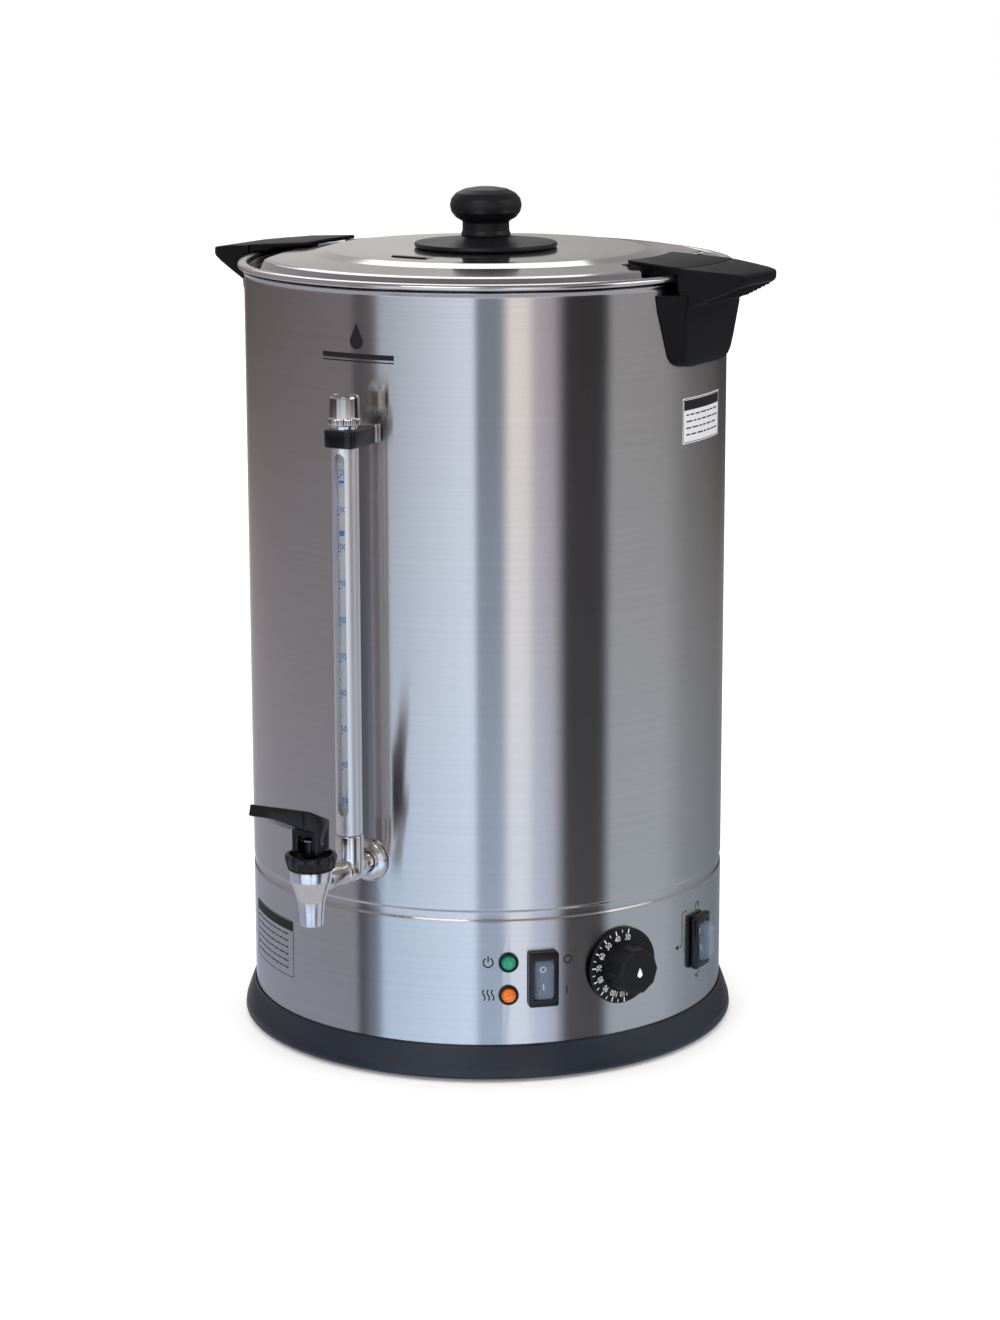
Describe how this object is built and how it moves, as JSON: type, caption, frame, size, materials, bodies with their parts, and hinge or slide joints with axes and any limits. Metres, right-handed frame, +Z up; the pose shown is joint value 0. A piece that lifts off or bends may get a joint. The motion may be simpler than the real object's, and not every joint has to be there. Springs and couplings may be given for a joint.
{
  "type": "hot water urn",
  "caption": "Double-skinned steel electric hot-water urn with twist-lock lid, lever tap, sight gauge, dial thermostat, rocker switches, lamps, side handles and mains inlet.",
  "frame": {"origin": "centre of the bottom cover's underside, on the vessel's vertical axis; the feet stand 2 mm below it", "axes": "+Z up along the vessel's axis; the tap and sight gauge face -Y; the two handles lie along X; the mains inlet faces +Y"},
  "size_m": [0.3978, 0.4514, 0.555],
  "materials": {
    "brushed_steel": "fine horizontal brushing",
    "polished_steel": "satin to mirror",
    "chrome_trim": "bright plated",
    "slate_plastic": "satin dark slate",
    "black_plastic": "satin black",
    "gloss_black": "gloss black",
    "rocker_plastic": "gloss dark blue-grey",
    "clear_boot": "clear soft cover",
    "green_lens": "green lamp lens",
    "amber_lens": "amber lamp lens",
    "red_plastic": "red reset button",
    "bare_aluminium": "as pressed",
    "satin_aluminium": "satin anodised",
    "spring_steel": "drawn wire and sheath",
    "copper": "copper capillary",
    "contact_brass": "brass contacts",
    "silicone": "translucent white silicone",
    "foot_rubber": "matt",
    "gauge_glass": "clear tube"
  },
  "bodies": {
    "root": {"outer_shell": "brushed_steel", "inner_tank": "polished_steel", "base_ring": "slate_plastic", "base_plate": "bare_aluminium", "foot_1": "foot_rubber", "foot_2": "foot_rubber", "foot_3": "foot_rubber", "base_screw_1": "polished_steel", "base_screw_2": "polished_steel", "base_screw_3": "polished_steel", "heater_plate": "bare_aluminium", "heating_element": "spring_steel", "thermostat_bulb": "copper", "boil_dry_cutout": "black_plastic", "terminal_block": "silicone", "inlet_socket": "black_plastic", "inlet_pin_neutral": "contact_brass", "inlet_pin_earth": "contact_brass", "inlet_pin_live": "contact_brass", "power_lamp_bezel": "gloss_black", "power_lamp_lens": "green_lens", "heating_lamp_bezel": "gloss_black", "heating_lamp_lens": "amber_lens", "power_switch_frame": "gloss_black", "power_switch_boot": "clear_boot", "selector_switch_frame": "gloss_black", "selector_switch_boot": "clear_boot", "thermostat_body": "bare_aluminium", "tap_flange": "polished_steel", "tap_shank": "polished_steel", "tap_tank_seal": "silicone", "tap_tank_nut": "polished_steel", "tap_body": "polished_steel", "tap_bonnet": "gloss_black", "tap_spring": "spring_steel", "gauge_glass": "gauge_glass", "gauge_shield": "satin_aluminium", "gauge_lower_seal": "silicone", "gauge_bracket": "gloss_black", "gauge_standoff": "polished_steel", "handle_right_grip": "black_plastic", "handle_right_tab": "black_plastic", "handle_left_grip": "black_plastic", "handle_left_tab": "black_plastic"},
    "lid_core": {"lid_knob_screw": "polished_steel"},
    "lid": {"lid": "polished_steel", "lid_knob_disc": "black_plastic", "lid_knob": "black_plastic"},
    "tap_plunger": {"tap_stem": "polished_steel", "tap_seat_cup": "silicone"},
    "tap_handle": {"tap_lever": "gloss_black", "tap_lever_pin": "polished_steel"},
    "power_rocker": {"power_rocker": "rocker_plastic"},
    "selector_rocker": {"selector_rocker": "rocker_plastic"},
    "dial": {"thermostat_knob": "black_plastic", "thermostat_shaft": "contact_brass"},
    "cap_seal": {"gauge_cap_seal": "silicone"},
    "cap": {"gauge_cap": "chrome_trim"},
    "reset_button": {"reset_button": "red_plastic"}
  },
  "joints": [
    {"name": "lid_lift", "type": "slide", "parent": "root", "child": "lid_core", "axis": [0, 0, 1], "range_m": [0, 0.12]},
    {"name": "lid_turn", "type": "hinge", "parent": "lid_core", "child": "lid", "pos_m": [0, 0, 0.515], "axis": [0, 0, 1], "range_deg": [-12, 12]},
    {"name": "tap_lift", "type": "slide", "parent": "root", "child": "tap_plunger", "axis": [0, 0, 1], "range_m": [0, 0.0041], "deforming": ["tap_spring"]},
    {"name": "tap_press", "type": "hinge", "parent": "tap_plunger", "child": "tap_handle", "pos_m": [0, -0.228, 0.168], "axis": [1, 0, 0], "range_deg": [0, 25], "stiffness_Nm_per_rad": 1.2, "springref_deg": -11.46},
    {"name": "power_switch", "type": "hinge", "parent": "root", "child": "power_rocker", "pos_m": [0.10329, -0.11757, 0.0648], "axis": [0.7513, 0.66, 0], "range_deg": [0, 16]},
    {"name": "selector_switch", "type": "hinge", "parent": "root", "child": "selector_rocker", "pos_m": [0.1565, -0.00109, 0.0663], "axis": [0.007, 1, 0], "range_deg": [0, 16]},
    {"name": "thermostat_turn", "type": "hinge", "parent": "root", "child": "dial", "pos_m": [0.13815, -0.07563, 0.067], "axis": [-0.8771, 0.4802, 0], "range_deg": [0, 190]},
    {"name": "cap_rise", "type": "slide", "parent": "root", "child": "cap_seal", "axis": [0, 0, 1], "range_m": [0, 0.0045]},
    {"name": "cap_unscrew", "type": "hinge", "parent": "cap_seal", "child": "cap", "pos_m": [0, -0.1815, 0.43], "axis": [0, 0, 1], "range_deg": [0, 1085]},
    {"name": "reset_press", "type": "slide", "parent": "root", "child": "reset_button", "axis": [0, 0, 1], "range_m": [0, 0.002], "stiffness_N_per_m": 200, "springref_m": -0.002}
  ],
  "couplings": [
    {"joint": "tap_lift", "follows": "tap_press", "m_per_rad": 0.00917},
    {"joint": "cap_unscrew", "follows": "cap_rise", "rad_per_m": 4188.8}
  ]
}
